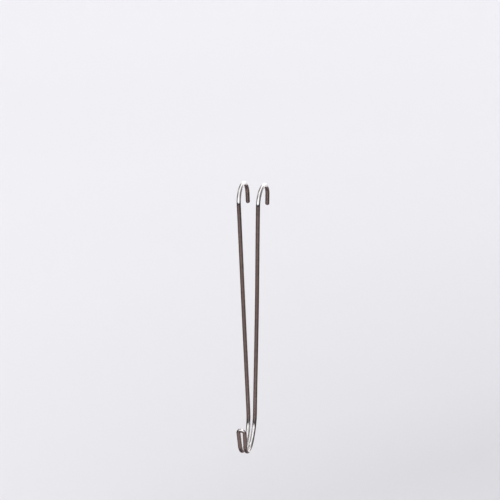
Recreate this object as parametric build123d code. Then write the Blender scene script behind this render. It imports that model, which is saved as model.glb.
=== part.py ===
from build123d import *
import os
from math import asin, cos, radians, sin, tan

# A bent-wire clothes hanger for a round hanging rail: one length of bright round steel wire, bent double.
# Two half-round bends sit over the rail and open to the back. Two long shanks run down from them and
# close up on each other in a narrow V. The wire then bends forwards into a hook that opens to the front,
# and a small U-bend at the tip joins the two halves, so that no cut end faces the clothes.
# Each node is one straight run or one bend of the wire, cut square at the point where they meet.
#
# +X runs along the rail, +Y to the back and +Z up.
# The origin is on the rail's axis, halfway between the two rail bends.

# Wire and rail
wire_diameter = 4.0
rail_diameter = 25.0
rail_play = 0.5  # how much wider the rail bends are than the rail

# Rail bends
hook_spacing = 19.0  # between the middles of the two bends, along the rail
rail_bend_angle = 180.0
toe_out = 0.8  # degrees by which each bend's back turns away from the other
tail_length = 10.0  # straight free end behind the rail
tail_rounding = 1.5  # radius round the cut end

# Shanks
shank_length = 213.5
closing_slope = 0.028  # sideways travel of each shank for each unit of drop
back_lean = 2.9  # degrees by which the shanks run to the back as they go down

# Lower hook
neck_radius = 41.0  # to the wire's centreline, like every bend radius here
neck_angle = 42.5
bowl_radius = 11.75
leg_lean = 12.6  # degrees by which the front legs lean out from the vertical
leg_length = 15.5

wire_radius = wire_diameter / 2
rail_bend_radius = (rail_diameter + rail_play + wire_diameter) / 2
bowl_angle = 180 - leg_lean + back_lean - neck_angle
to_front = Vector(0, -1, 0)
to_back = Vector(tan(radians(toe_out)), 1, 0).normalized()


def square_to(vector, direction):
    """The unit vector nearest to vector that is square to direction."""
    return (vector - direction * vector.dot(direction)).normalized()


def straight(start, direction, length):
    return Line(start, start + direction * length)


def bend(start, direction, towards, radius, angle):
    """The arc that leaves start along direction and turns by angle degrees towards the given side."""
    side = square_to(towards, direction)
    centre = start + side * radius

    def point_at(turn):
        return centre - side * (radius * cos(radians(turn))) + direction * (radius * sin(radians(turn)))

    return ThreePointArc(start, point_at(angle / 2), point_at(angle))


def wire_along(path):
    section = Plane(origin=path @ 0, z_dir=path % 0) * Circle(wire_radius)
    return sweep(section, path=path)


def rounded_tail(path):
    """A straight length of wire with the edge of its far end rounded over."""
    tail = wire_along(path)
    far_edge = tail.edges().filter_by(GeomType.CIRCLE).sort_by_distance(path @ 1)[0]
    return fillet(far_edge, tail_rounding)


def bowl_side(neck_bend):
    """The side that the neck bend turns towards at its end, so that the bowl bend stays in its plane."""
    turning = (neck_bend % 1) - (neck_bend % 0)
    return square_to(turning, neck_bend % 1)


def right_half():
    """The paths of the right-hand half of the wire, from its free end to the tip, by node name."""
    down = Vector(-closing_slope, tan(radians(back_lean)), -1).normalized()
    back = square_to(to_back, down)
    middle = Vector(hook_spacing / 2, 0, 0)
    rail_back = middle + back * rail_bend_radius
    rail_bend = bend(rail_back, down * -1, back * -1, rail_bend_radius, rail_bend_angle)
    shank = straight(rail_bend @ 1, down, shank_length)
    neck_bend = bend(shank @ 1, shank % 1, to_front, neck_radius, neck_angle)
    bowl_bend = bend(neck_bend @ 1, neck_bend % 1, bowl_side(neck_bend), bowl_radius, bowl_angle)
    return {
        "tail": straight(rail_back, down, tail_length),
        "rail_bend": rail_bend,
        "shank": shank,
        "neck_bend": neck_bend,
        "bowl_bend": bowl_bend,
        "front_leg": straight(bowl_bend @ 1, bowl_bend % 1, leg_length),
    }


def tip_path(front_leg):
    """The arc from the end of the right front leg to the end of its mirror image."""
    end = front_leg @ 1
    direction = front_leg % 1
    splay = asin(direction.X)
    upwards = Vector(0, direction.Y, direction.Z).normalized()
    radius = end.X / cos(splay)
    centre = Vector(0, end.Y, end.Z) + upwards * (radius * sin(splay))
    return ThreePointArc(end, centre + upwards * radius, Vector(-end.X, end.Y, end.Z))


def build_nodes():
    nodes = {}
    paths = right_half()
    for name, path in paths.items():
        solid = rounded_tail(path) if name == "tail" else wire_along(path)
        nodes["right_" + name] = solid
        nodes["left_" + name] = mirror(solid, about=Plane.YZ)
    nodes["tip_bend"] = wire_along(tip_path(paths["front_leg"]))
    return nodes


os.makedirs("parts", exist_ok=True)
for node_name, node_solid in build_nodes().items():
    export_step(node_solid, f"parts/{node_name}.step")
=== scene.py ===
from math import asin, cos, degrees, pi, radians, sin, tan

import bpy
from mathutils import Matrix, Vector


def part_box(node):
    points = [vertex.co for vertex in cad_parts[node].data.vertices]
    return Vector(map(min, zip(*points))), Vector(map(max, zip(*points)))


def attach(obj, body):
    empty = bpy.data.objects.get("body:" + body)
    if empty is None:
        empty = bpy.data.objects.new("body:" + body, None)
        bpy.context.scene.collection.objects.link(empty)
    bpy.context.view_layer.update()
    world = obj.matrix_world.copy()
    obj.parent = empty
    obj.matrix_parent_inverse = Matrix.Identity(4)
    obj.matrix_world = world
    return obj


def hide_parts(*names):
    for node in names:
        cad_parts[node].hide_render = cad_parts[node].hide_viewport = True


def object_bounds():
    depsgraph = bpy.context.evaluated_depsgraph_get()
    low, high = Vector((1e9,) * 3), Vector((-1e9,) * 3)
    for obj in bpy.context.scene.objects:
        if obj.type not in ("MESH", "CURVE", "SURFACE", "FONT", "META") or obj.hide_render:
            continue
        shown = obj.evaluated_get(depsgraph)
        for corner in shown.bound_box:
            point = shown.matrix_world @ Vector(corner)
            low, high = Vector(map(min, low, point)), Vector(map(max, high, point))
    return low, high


# A clothes hanger bent from one length of bright steel wire. It hangs over a round rail by two bends that
# open to the back, and carries its load in a hook that opens to the front and ends in a small loop.
# Everything is in metres, in the frame of the CAD model: +X along the rail, +Y to the back, +Z up, with
# the origin on the rail's axis. Every stretch of wire is built again here, finely enough for polished
# metal, on the CAD model's centreline, apart from a slight bow in the shanks.

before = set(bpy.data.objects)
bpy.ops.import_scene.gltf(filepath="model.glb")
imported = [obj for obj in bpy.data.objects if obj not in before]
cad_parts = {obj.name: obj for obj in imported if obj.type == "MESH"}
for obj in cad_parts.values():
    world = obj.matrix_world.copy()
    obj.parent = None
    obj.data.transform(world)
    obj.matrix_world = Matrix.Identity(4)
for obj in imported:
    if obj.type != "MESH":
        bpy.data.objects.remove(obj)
cad_low, cad_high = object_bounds()

# The CAD model's driving dimensions, in metres and degrees. check_place() compares what they give with
# the frame's own boxes.
WIRE_RADIUS = 0.002
RAIL_BEND_RADIUS = 0.01475
RAIL_BEND_ANGLE = 180.0
RAIL_BEND_SPACING = 0.019
TOE_OUT = 0.8
TAIL_LENGTH = 0.010
TAIL_ROUNDING = 0.0015
SHANK_LENGTH = 0.2135
CLOSING_SLOPE = 0.028
BACK_LEAN = 2.9
NECK_RADIUS = 0.041
NECK_ANGLE = 42.5
BOWL_RADIUS = 0.01175
LEG_LEAN = 12.6
LEG_LENGTH = 0.0155
BOWL_ANGLE = 180 - LEG_LEAN + BACK_LEAN - NECK_ANGLE

# In the middle, each shank bows this far away from the other one. The CAD model draws them straight.
SHANK_BOW = {"right": 0.00036, "left": 0.00008}

# Mesh
AROUND = 64  # faces round the wire
BEND_STEP = 0.0004  # between rings on a bend
STRAIGHT_STEP = 0.0025  # between rings on a straight run
ROUNDING_STEPS = 10  # between rings on a tail's rounded end
PLACE_TOLERANCE = 0.0005

TO_FRONT = Vector((0, -1, 0))
TO_BACK = Vector((tan(radians(TOE_OUT)), 1, 0)).normalized()
ALONG_RAIL = Vector((1, 0, 0))


# ---------------------------------------------------------------------------------------------------
# Centreline
# ---------------------------------------------------------------------------------------------------

def square_to(vector, direction):
    """The unit vector nearest to vector that is square to direction."""
    return (vector - direction * vector.dot(direction)).normalized()


class Straight:
    def __init__(self, start, direction, length):
        self.start = start
        self.direction = direction
        self.length = length
        self.rings = max(2, round(length / STRAIGHT_STEP))

    def point(self, share):
        return self.start + self.direction * (self.length * share)

    def tangent(self, share):
        return self.direction


class Bowed(Straight):
    """A straight run that bows to one side in the middle, and leaves both ends in line."""

    def __init__(self, start, direction, length, side, bow):
        super().__init__(start, direction, length)
        self.side = side
        self.bow = bow

    def point(self, share):
        return super().point(share) + self.side * (self.bow * sin(pi * share) ** 2)

    def tangent(self, share):
        slope = self.bow * pi * sin(2 * pi * share) / self.length
        return (self.direction + self.side * slope).normalized()


class Bend:
    """An arc that leaves start along direction and turns towards one side."""

    def __init__(self, start, direction, towards, radius, angle):
        self.start = start
        self.direction = direction
        self.side = square_to(towards, direction)
        self.radius = radius
        self.turn = radians(angle)
        self.length = radius * self.turn
        self.rings = round(self.length / BEND_STEP)

    def point(self, share):
        turn = self.turn * share
        across = self.side * (self.radius * (1 - cos(turn)))
        return self.start + across + self.direction * (self.radius * sin(turn))

    def tangent(self, share):
        turn = self.turn * share
        return self.direction * cos(turn) + self.side * sin(turn)


def turned_side(bend):
    """The side that a bend is turning towards when it ends."""
    return square_to(bend.side, bend.tangent(1))


def right_half(bow):
    """The right-hand half of the wire, from its free end to the tip, as stretches by CAD node name."""
    down = Vector((-CLOSING_SLOPE, tan(radians(BACK_LEAN)), -1)).normalized()
    back = square_to(TO_BACK, down)
    middle = ALONG_RAIL * (RAIL_BEND_SPACING / 2)
    rail_back = middle + back * RAIL_BEND_RADIUS
    tail = Straight(rail_back + down * TAIL_LENGTH, -down, TAIL_LENGTH)
    rail_bend = Bend(rail_back, -down, -back, RAIL_BEND_RADIUS, RAIL_BEND_ANGLE)
    outwards = square_to(ALONG_RAIL, down)
    shank = Bowed(rail_bend.point(1), down, SHANK_LENGTH, outwards, bow)
    neck_bend = Bend(shank.point(1), down, TO_FRONT, NECK_RADIUS, NECK_ANGLE)
    bowl_towards = turned_side(neck_bend)
    bowl_bend = Bend(neck_bend.point(1), neck_bend.tangent(1), bowl_towards, BOWL_RADIUS, BOWL_ANGLE)
    front_leg = Straight(bowl_bend.point(1), bowl_bend.tangent(1), LEG_LENGTH)
    return {
        "tail": tail,
        "rail_bend": rail_bend,
        "shank": shank,
        "neck_bend": neck_bend,
        "bowl_bend": bowl_bend,
        "front_leg": front_leg,
    }


def tip_bend(front_leg):
    """The arc from the end of the right front leg to the end of the left one."""
    end = front_leg.point(1)
    direction = front_leg.tangent(1)
    splay = asin(direction.x)
    return Bend(end, direction, -ALONG_RAIL, end.x / cos(splay), 180 + 2 * degrees(splay))


# ---------------------------------------------------------------------------------------------------
# Wire meshes
# ---------------------------------------------------------------------------------------------------

def rings_along(stretch, side, rounded):
    """(centre, tangent, side, radius, distance along) of each ring, the side carried without twist."""
    stations = [(i / stretch.rings, WIRE_RADIUS) for i in range(stretch.rings + 1)]
    if rounded:
        rounding_share = TAIL_ROUNDING / stretch.length
        flat_radius = WIRE_RADIUS - TAIL_ROUNDING
        rounding = []
        for i in range(ROUNDING_STEPS, -1, -1):
            slope = pi / 2 * i / ROUNDING_STEPS
            share = rounding_share * (1 - sin(slope))
            rounding.append((share, flat_radius + TAIL_ROUNDING * cos(slope)))
        stations = rounding + [station for station in stations if station[0] > rounding_share]
    rings = []
    for share, radius in stations:
        tangent = stretch.tangent(share)
        side = square_to(side, tangent)
        rings.append((stretch.point(share), tangent, side, radius, share * stretch.length))
    return rings, side


def ring_edges(ring):
    """The edges round a ring of vertices, each as its two vertex numbers in order."""
    return {tuple(sorted((ring[i - 1], ring[i]))) for i in range(len(ring))}


def wire_mesh(name, stretch, side, run, mirrored=False, rounded=False):
    """A closed tube along a stretch, with UVs in metres: round the wire, and along it from its free end."""
    rings, end_side = rings_along(stretch, side, rounded)
    vertices = []
    for centre, tangent, across, radius, _ in rings:
        upright = tangent.cross(across)
        for i in range(AROUND):
            angle = 2 * pi * i / AROUND
            vertex = centre + (across * cos(angle) + upright * sin(angle)) * radius
            vertices.append((-vertex.x, vertex.y, vertex.z) if mirrored else tuple(vertex))
    faces = []
    uvs = []
    girth = 2 * pi * WIRE_RADIUS
    for r in range(len(rings) - 1):
        low, high = run + rings[r][4], run + rings[r + 1][4]
        for i in range(AROUND):
            j = (i + 1) % AROUND
            left, right = girth * i / AROUND, girth * (i + 1) / AROUND
            face = [r * AROUND + i, r * AROUND + j, (r + 1) * AROUND + j, (r + 1) * AROUND + i]
            corners = [(left, low), (right, low), (right, high), (left, high)]
            if mirrored:
                face.reverse()
                corners.reverse()
            faces.append(face)
            uvs.extend(corners)
    sides = len(faces)
    first = list(range(AROUND))
    last = [(len(rings) - 1) * AROUND + i for i in range(AROUND)]
    for cap, flip in ((first, not mirrored), (last, mirrored)):
        faces.append(cap[::-1] if flip else cap)
        uvs.extend([(0.0, run)] * AROUND)
    mesh = bpy.data.meshes.new(name)
    mesh.from_pydata(vertices, [], faces)
    layer = mesh.uv_layers.new(name="wire")
    layer.data.foreach_set("uv", [value for uv in uvs for value in uv])
    mesh.polygons.foreach_set("use_smooth", [True] * sides + [False] * 2)
    mesh.update()
    cap_edges = {edge for cap in (first, last) for edge in ring_edges(cap)}
    for edge in mesh.edges:
        edge.use_edge_sharp = tuple(sorted(edge.vertices)) in cap_edges
    piece = bpy.data.objects.new(name, mesh)
    bpy.context.scene.collection.objects.link(piece)
    return piece, end_side


def check_place(piece, node):
    """Stop the script if a piece isn't where its CAD node is."""
    low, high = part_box(node)
    xyz = list(zip(*(v.co for v in piece.data.vertices)))
    for axis in range(3):
        off = max(abs(min(xyz[axis]) - low[axis]), abs(max(xyz[axis]) - high[axis]))
        if off > PLACE_TOLERANCE:
            raise RuntimeError(f"{piece.name} is {off * 1000:.2f} mm off its CAD node on axis {axis}")


def finish_piece(piece, node, material):
    """Put a piece in the place of its CAD node."""
    check_place(piece, node)
    piece.data.materials.append(material)
    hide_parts(node)
    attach(piece, "root")


def build_wire(material):
    """Both halves of the wire, the left one as the mirror image of the right, and the bend at the tip."""
    for hand in ("left", "right"):
        side = ALONG_RAIL
        run = 0.0
        for stretch_name, stretch in right_half(SHANK_BOW[hand]).items():
            piece, side = wire_mesh(
                f"{hand}_{stretch_name}_wire",
                stretch,
                side,
                run,
                mirrored=hand == "left",
                rounded=stretch_name == "tail",
            )
            finish_piece(piece, f"{hand}_{stretch_name}", material)
            run += stretch.length
    # The last stretch was the right front leg.
    tip, _ = wire_mesh("tip_bend_wire", tip_bend(stretch), side, run)
    finish_piece(tip, "tip_bend", material)


# ---------------------------------------------------------------------------------------------------
# Materials
# ---------------------------------------------------------------------------------------------------

class Nodes:
    """Short calls for building a node tree."""

    def __init__(self, tree):
        self.tree = tree

    def add(self, kind, inputs=None, **settings):
        node = self.tree.nodes.new(kind)
        for key, value in settings.items():
            setattr(node, key, value)
        for key, value in (inputs or {}).items():
            self.set(node, key, value)
        return node

    def set(self, node, key, value):
        if isinstance(value, bpy.types.NodeSocket):
            self.tree.links.new(value, node.inputs[key])
        else:
            node.inputs[key].default_value = value

    def math(self, operation, a, b=0.0):
        return self.add("ShaderNodeMath", {0: a, 1: b}, operation=operation).outputs[0]

    def vector(self, operation, a, b=(0.0, 0.0, 0.0)):
        return self.add("ShaderNodeVectorMath", {0: a, 1: b}, operation=operation).outputs["Vector"]

    def length(self, vector):
        return self.add("ShaderNodeVectorMath", {0: vector}, operation="LENGTH").outputs["Value"]

    def dot(self, a, b):
        node = self.add("ShaderNodeVectorMath", {0: a, 1: b}, operation="DOT_PRODUCT")
        return node.outputs["Value"]

    def span(self, value, low, high, to_low=0.0, to_high=1.0):
        """value taken smoothly from low..high to to_low..to_high."""
        inputs = {"Value": value, "From Min": low, "From Max": high, "To Min": to_low, "To Max": to_high}
        node = self.add("ShaderNodeMapRange", inputs, interpolation_type="SMOOTHSTEP")
        return node.outputs["Result"]

    def noise(self, vector, scale, detail, roughness):
        inputs = {"Vector": vector, "Scale": scale, "Detail": detail, "Roughness": roughness}
        return self.add("ShaderNodeTexNoise", inputs).outputs["Fac"]

    def stretched(self, vector, scale):
        return self.add("ShaderNodeMapping", {"Vector": vector, "Scale": scale}).outputs["Vector"]

    def mix(self, share, a, b):
        """The number share of the way from a to b."""
        return self.add("ShaderNodeMix", {0: share, 2: a, 3: b}, data_type="FLOAT").outputs[0]

    def blend(self, share, a, b):
        """The colour share of the way from a to b."""
        return self.add("ShaderNodeMix", {0: share, 6: a, 7: b}, data_type="RGBA").outputs[2]

    def ramp(self, value, stops):
        node = self.add("ShaderNodeValToRGB", {"Fac": value})
        elements = node.color_ramp.elements
        while len(elements) < len(stops):
            elements.new(0.5)
        for element, (position, colour) in zip(elements, stops):
            element.position = position
            element.color = (*colour, 1.0)
        return node.outputs["Color"]


def empty_material(name):
    material = bpy.data.materials.new(name)
    material.use_nodes = True
    material.node_tree.nodes.clear()
    return material, Nodes(material.node_tree)


def shaded_material(name):
    """A material with one Principled shader, ready for its inputs."""
    material, nodes = empty_material(name)
    shader = nodes.add("ShaderNodeBsdfPrincipled")
    nodes.add("ShaderNodeOutputMaterial", {"Surface": shader.outputs["BSDF"]})
    return material, nodes, shader


# The wire's colours
PLATING = (0.80, 0.775, 0.755, 1.0)
PLATING_DULL = (0.70, 0.67, 0.645, 1.0)  # in the smudges
BARE_STEEL = (0.56, 0.545, 0.53, 1.0)
BARE_SHARE = 0.4  # of the bare steel's colour where the wire is most worn

# Its roughness
ROUGHNESS_CLEAN = 0.09
ROUGHNESS_HANDLED = 0.17
LINES_ROUGHNESS = 0.07  # added in the drawing lines
WORN_ROUGHNESS = (0.03, 0.14)  # added where the wire is worn, between and in the scratches

# Its noises: their scales, per metre, and from where to where each one shows
LINES_SCALE = (9000, 45, 1)  # round the wire and along it
SMUDGES_SCALE = 260.0
GRAIN_SCALE = 9000.0
SCRATCHES_SCALE = (900, 9000, 9000)  # so they run along the rail
LINES_SHOW = (0.45, 0.80)
SMUDGES_DULL = (0.35, 0.70)
SMUDGES_ROUGH = (0.30, 0.75)
SCRATCHES_SHOW = (0.30, 0.70)

# Its relief: the whole depth, and each noise's share of it
RELIEF_DEPTH = 0.000004
RELIEF_STRENGTH = 0.25
LINES_RELIEF = 0.8
GRAIN_RELIEF = 0.2
SCRATCHES_RELIEF = 0.4

# Where it is worn
WEAR_DEPTH = (0.0004, 0.0013)  # from the inside of a bend outwards: fully up to here, not at all past here
WEAR_SIDE = (0.09, 0.66)  # above or below the bend's centre, by its radius: from here on, fully from here


def wear_mask(nodes, place):
    """How worn the wire is: 1 inside the rail bends and on the bottom of the bowl, 0 elsewhere."""
    parts = nodes.add("ShaderNodeSeparateXYZ", {"Vector": place}).outputs
    bowl = right_half(0.0)["bowl_bend"]
    bowl_centre = bowl.start + bowl.side * bowl.radius
    masks = []
    for y, z, radius, upwards in (
        (0.0, 0.0, RAIL_BEND_RADIUS, 1),
        (bowl_centre.y, bowl_centre.z, BOWL_RADIUS, -1),
    ):
        off_y = nodes.math("SUBTRACT", parts["Y"], y)
        off_z = nodes.math("SUBTRACT", parts["Z"], z)
        square_y = nodes.math("MULTIPLY", off_y, off_y)
        square_z = nodes.math("MULTIPLY", off_z, off_z)
        distance = nodes.math("SQRT", nodes.math("ADD", square_y, square_z))
        inside = radius - WIRE_RADIUS
        near = nodes.span(distance, inside + WEAR_DEPTH[0], inside + WEAR_DEPTH[1], 1.0, 0.0)
        side = [upwards * radius * limit for limit in WEAR_SIDE]
        masks.append(nodes.math("MULTIPLY", near, nodes.span(off_z, *side)))
    return nodes.math("MAXIMUM", *masks)


def bright_wire():
    """Drawn steel wire, plated and polished: fine lines along it, smudged, and worn where it rubs."""
    material, nodes, shader = shaded_material("bright_wire")
    along_wire = nodes.add("ShaderNodeUVMap", uv_map="wire").outputs["UV"]
    place = nodes.add("ShaderNodeTexCoord").outputs["Object"]

    lines = nodes.noise(nodes.stretched(along_wire, LINES_SCALE), 1.0, detail=3.0, roughness=0.6)
    smudges = nodes.noise(place, SMUDGES_SCALE, detail=3.0, roughness=0.55)
    grain = nodes.noise(place, GRAIN_SCALE, detail=2.0, roughness=0.5)
    scratches = nodes.noise(nodes.stretched(place, SCRATCHES_SCALE), 1.0, detail=2.0, roughness=0.6)
    wear = wear_mask(nodes, place)

    plating = nodes.blend(nodes.span(smudges, *SMUDGES_DULL), PLATING, PLATING_DULL)
    colour = nodes.blend(nodes.math("MULTIPLY", wear, BARE_SHARE), plating, BARE_STEEL)
    nodes.set(shader, "Base Color", colour)
    nodes.set(shader, "Metallic", 1.0)

    polish = nodes.span(smudges, *SMUDGES_ROUGH, ROUGHNESS_CLEAN, ROUGHNESS_HANDLED)
    lined = nodes.math("ADD", polish, nodes.span(lines, *LINES_SHOW, 0.0, LINES_ROUGHNESS))
    worn = nodes.math("MULTIPLY", wear, nodes.span(scratches, *SCRATCHES_SHOW, *WORN_ROUGHNESS))
    nodes.set(shader, "Roughness", nodes.math("ADD", lined, worn))

    lines_height = nodes.math("MULTIPLY", lines, LINES_RELIEF)
    grain_height = nodes.math("MULTIPLY", grain, GRAIN_RELIEF)
    scratch_height = nodes.math("MULTIPLY", nodes.math("MULTIPLY", scratches, SCRATCHES_RELIEF), wear)
    height = nodes.math("ADD", nodes.math("ADD", lines_height, scratch_height), grain_height)
    relief = {"Strength": RELIEF_STRENGTH, "Distance": RELIEF_DEPTH, "Height": height}
    nodes.set(shader, "Normal", nodes.add("ShaderNodeBump", relief).outputs["Normal"])
    return material


# ---------------------------------------------------------------------------------------------------
# Stage and tent
# ---------------------------------------------------------------------------------------------------

SPOKES = [2 * pi * i / 96 for i in range(96)]  # the angles of the points round a surface of revolution
PINHOLE = 0.0005  # the radius left open on the axis, where a surface of revolution would close


def turned(name, profile, material):
    """A surface of revolution about Z, from the (radius, height) pairs of its profile."""
    vertices = [(radius * cos(angle), radius * sin(angle), z) for radius, z in profile for angle in SPOKES]
    faces = []
    for r in range(len(profile) - 1):
        for i in range(len(SPOKES)):
            j = (i + 1) % len(SPOKES)
            low, high = r * len(SPOKES), (r + 1) * len(SPOKES)
            faces.append((low + i, high + i, high + j, low + j))
    mesh = bpy.data.meshes.new(name)
    mesh.from_pydata(vertices, [], faces)
    mesh.polygons.foreach_set("use_smooth", [True] * len(faces))
    mesh.materials.append(material)
    surface = bpy.data.objects.new(name, mesh)
    bpy.context.scene.collection.objects.link(surface)
    return surface


# The wire mirrors a light tent that stands on a dark floor. Only the wire's reflections see it.
TENT_RADIUS = 1.05
TENT_FLOOR = -0.75
TENT_TOP = 1.20
TENT_WALL_TOP = 0.45
TENT_RINGS = 24
TENT_LINING = (  # by height: a brown floor and skirting, a dark gap, and white walls and roof
    (-0.75, (0.224, 0.166, 0.160)),
    (-0.69, (0.185, 0.136, 0.130)),
    (-0.60, (0.195, 0.142, 0.134)),
    (-0.545, (0.222, 0.162, 0.150)),
    (-0.47, (0.222, 0.162, 0.150)),
    (-0.44, (0.075, 0.062, 0.070)),
    (-0.205, (0.066, 0.056, 0.072)),
    (-0.170, (1.000, 1.000, 1.050)),
    (-0.120, (1.350, 1.350, 1.420)),
    (1.20, (1.450, 1.450, 1.520)),
)
FLOOR_LEVEL = (TENT_FLOOR + 0.01, TENT_FLOOR + 0.02)  # what lies below it counts as the floor
WALL_FOOT = (-0.21, -0.18)  # where the dark gap gives way to the white walls

# The middle of the tent's floor, which is darker
MIDDLE_COLOUR = (0.075, 0.062, 0.075, 1.0)
MIDDLE_RADIUS = (0.27, 0.36)

# Pale paper that hangs behind the wire, as the camera looks, up to the white walls
PALE_PAPER = (1.00, 0.99, 1.03, 1.0)
TO_PAPER = (0.087, 0.996, 0.0)
PAPER_SIDES = (0.90, 0.97)  # the cosine of the angle from TO_PAPER
PAPER_TOP = (-0.20, -0.17)
PAPER_FOOT = (0.70, 0.90)  # where it runs out on the floor, by radius

# Where the tent is darker: towards these directions, by how far out a place is along them
TO_DARK_FLOOR = ((0.94, 0.34, 0.0), (-0.94, 0.34, 0.0))
DARK_FLOOR_REACH = (0.25, 0.80)
DARK_FLOOR_SHARE = 0.45
TO_DIM_WALLS = ((0.98, 0.0, 0.20), (-0.94, 0.05, 0.34))
DIM_WALL_REACH = (0.50, 0.90)
DIM_WALL_SHARE = 0.16


def tent_material():
    material, nodes = empty_material("tent_lining")
    place = nodes.add("ShaderNodeTexCoord").outputs["Object"]
    height = nodes.add("ShaderNodeSeparateXYZ", {"Vector": place}).outputs["Z"]
    flat = nodes.vector("MULTIPLY", place, (1, 1, 0))
    radius = nodes.length(flat)

    tall = TENT_TOP - TENT_FLOOR
    share = nodes.math("DIVIDE", nodes.math("SUBTRACT", height, TENT_FLOOR), tall)
    lining = nodes.ramp(share, [((z - TENT_FLOOR) / tall, rgb) for z, rgb in TENT_LINING])
    on_floor = nodes.span(height, *FLOOR_LEVEL, 1.0, 0.0)
    middle = nodes.math("MULTIPLY", on_floor, nodes.span(radius, *MIDDLE_RADIUS, 1.0, 0.0))
    lining = nodes.blend(middle, lining, MIDDLE_COLOUR)

    below_walls = nodes.span(height, *PAPER_TOP, 1.0, 0.0)
    far_out = nodes.math("MULTIPLY", below_walls, nodes.span(radius, *PAPER_FOOT))
    behind = nodes.span(nodes.dot(nodes.vector("NORMALIZE", flat), TO_PAPER), *PAPER_SIDES)
    paper = nodes.math("MULTIPLY", far_out, behind)
    colour = nodes.blend(paper, lining, PALE_PAPER)

    outwards = nodes.vector("MULTIPLY", place, (1 / TENT_RADIUS,) * 3)
    dark_sides = nodes.math("MAXIMUM", *(nodes.dot(outwards, side) for side in TO_DARK_FLOOR))
    floor = nodes.span(dark_sides, *DARK_FLOOR_REACH, 1.0, DARK_FLOOR_SHARE)
    dim_sides = nodes.math("MAXIMUM", *(nodes.dot(outwards, side) for side in TO_DIM_WALLS))
    walls = nodes.span(dim_sides, *DIM_WALL_REACH, 1.0, DIM_WALL_SHARE)
    strength = nodes.mix(nodes.span(height, *WALL_FOOT), nodes.math("MAXIMUM", floor, paper), walls)

    light = nodes.add("ShaderNodeEmission", {"Color": colour, "Strength": strength})
    nodes.add("ShaderNodeOutputMaterial", {"Surface": light.outputs["Emission"]})
    return material


def tent():
    """A round floor, an upright wall and a domed roof."""
    profile = [(PINHOLE, TENT_FLOOR), (TENT_RADIUS, TENT_FLOOR), (TENT_RADIUS, TENT_WALL_TOP)]
    for i in range(1, TENT_RINGS + 1):
        angle = pi / 2 * i / TENT_RINGS
        radius = max(PINHOLE, TENT_RADIUS * cos(angle))
        profile.append((radius, TENT_WALL_TOP + (TENT_TOP - TENT_WALL_TOP) * sin(angle)))
    lining = turned("tent", profile, tent_material())
    lining.visible_camera = False
    lining.visible_diffuse = False
    lining.visible_transmission = False
    lining.visible_shadow = False


# The floor that the camera sees
FLOOR_DROP = 1.6  # a rail's height above a shop floor
FLOOR_RADIUS = 5.5
FLOOR_RINGS = (0.25, 0.5, 0.75, 1.0)  # by its radius
COVE_RADIUS = 3.0
COVE_RINGS = 24
WALL_TOP = 2.5

# Its paper's colour, by the distance from a point behind the hanger on the right: painted shade, darker
# near that point and lighter far off. The distances are shares of the cove's outer radius.
PAINTED_SHADE_PLACE = (1.35, 1.15, 0.0)
# The paper's colours by distance, with the painted shade in them
PAPER = (
    (0.28, (0.635, 0.632, 0.652)),
    (0.30, (0.668, 0.664, 0.686)),
    (0.32, (0.699, 0.695, 0.717)),
    (0.36, (0.735, 0.731, 0.754)),
    (0.436, (0.791, 0.787, 0.811)),
    (0.53, (0.834, 0.830, 0.856)),
    (0.68, (0.868, 0.863, 0.891)),
)


def stage_material():
    """Pale matt paper, with painted shade in its colour: darker near a point on the right, lighter far off.
    """
    material, nodes, shader = shaded_material("paper_painted_shade")
    place = nodes.add("ShaderNodeTexCoord").outputs["Object"]
    off = nodes.vector("SUBTRACT", place, PAINTED_SHADE_PLACE)
    distance = nodes.length(nodes.vector("MULTIPLY", off, (1, 1, 0)))
    share = nodes.math("DIVIDE", distance, FLOOR_RADIUS + COVE_RADIUS)
    # The painted shade goes into the paper's base colour.
    nodes.set(shader, "Base Color", nodes.ramp(share, PAPER))
    nodes.set(shader, "Roughness", 0.9)
    nodes.set(shader, "Specular IOR Level", 0.0)
    return material


def stage():
    """A round floor that rises in a cove to a low wall, open at the top."""
    profile = [(PINHOLE, -FLOOR_DROP)]
    profile += [(FLOOR_RADIUS * share, -FLOOR_DROP) for share in FLOOR_RINGS]
    for i in range(1, COVE_RINGS + 1):
        angle = pi / 2 * i / COVE_RINGS
        radius = FLOOR_RADIUS + COVE_RADIUS * sin(angle)
        profile.append((radius, COVE_RADIUS * (1 - cos(angle)) - FLOOR_DROP))
    profile.append((FLOOR_RADIUS + COVE_RADIUS, WALL_TOP))
    backdrop = turned("stage", profile, stage_material())
    backdrop.visible_glossy = False


# ---------------------------------------------------------------------------------------------------
# Light and camera
# ---------------------------------------------------------------------------------------------------

WORLD_COLOUR = (1.0, 0.997, 1.0, 1.0)
WORLD_STRENGTH = 1.065

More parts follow.
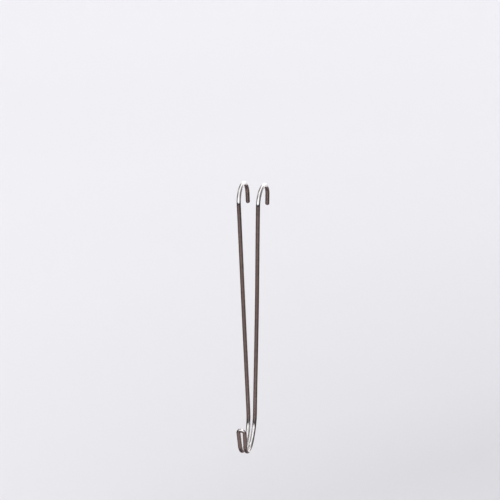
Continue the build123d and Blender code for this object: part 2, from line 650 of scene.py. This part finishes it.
# A square soft light, high up on the left and a little in front
KEY_PLACE = (-2.2, -0.6, 2.4)
KEY_SIZE = 1.2
KEY_POWER = 55.0

# The camera looks down on the hanger from the front right.
CAMERA_AZIMUTH = 16.68
CAMERA_ELEVATION = 20.69
CAMERA_DISTANCE = 2.3235
CAMERA_LENS = 180.0
SENSOR_WIDTH = 36.0
AIM_RIGHT = -0.00278  # how far to the right of the origin it aims, across the picture
AIM_UP = -0.04672  # and how far above it


def surroundings():
    """Even light from all sides."""
    world = bpy.data.worlds.new("studio")
    bpy.context.scene.world = world
    world.use_nodes = True
    world.node_tree.nodes.clear()
    nodes = Nodes(world.node_tree)
    background = nodes.add("ShaderNodeBackground", {"Color": WORLD_COLOUR, "Strength": WORLD_STRENGTH})
    nodes.add("ShaderNodeOutputWorld", {"Surface": background.outputs["Background"]})


def key_light():
    light = bpy.data.lights.new("key", "AREA")
    light.shape = "SQUARE"
    light.size = KEY_SIZE
    light.energy = KEY_POWER
    lamp = bpy.data.objects.new("key", light)
    lamp.location = KEY_PLACE
    aim = (cad_low + cad_high) / 2 - lamp.location
    lamp.rotation_euler = aim.to_track_quat("-Z", "Y").to_euler()
    bpy.context.scene.collection.objects.link(lamp)


def camera():
    azimuth = radians(CAMERA_AZIMUTH)
    elevation = radians(CAMERA_ELEVATION)
    right = Vector((cos(azimuth), sin(azimuth), 0))
    ahead = Vector((-sin(azimuth) * cos(elevation), cos(azimuth) * cos(elevation), -sin(elevation)))
    up = right.cross(ahead)
    place = right * AIM_RIGHT + up * AIM_UP - ahead * CAMERA_DISTANCE
    data = bpy.data.cameras.new("camera")
    data.lens = CAMERA_LENS
    data.sensor_width = SENSOR_WIDTH
    camera_object = bpy.data.objects.new("camera", data)
    axes = Matrix((right, up, -ahead)).transposed().to_4x4()
    camera_object.matrix_world = Matrix.Translation(place) @ axes
    bpy.context.scene.collection.objects.link(camera_object)
    bpy.context.scene.camera = camera_object


build_wire(bright_wire())
surroundings()
tent()
stage()
key_light()
camera()
bpy.context.scene.view_settings.view_transform = "Standard"
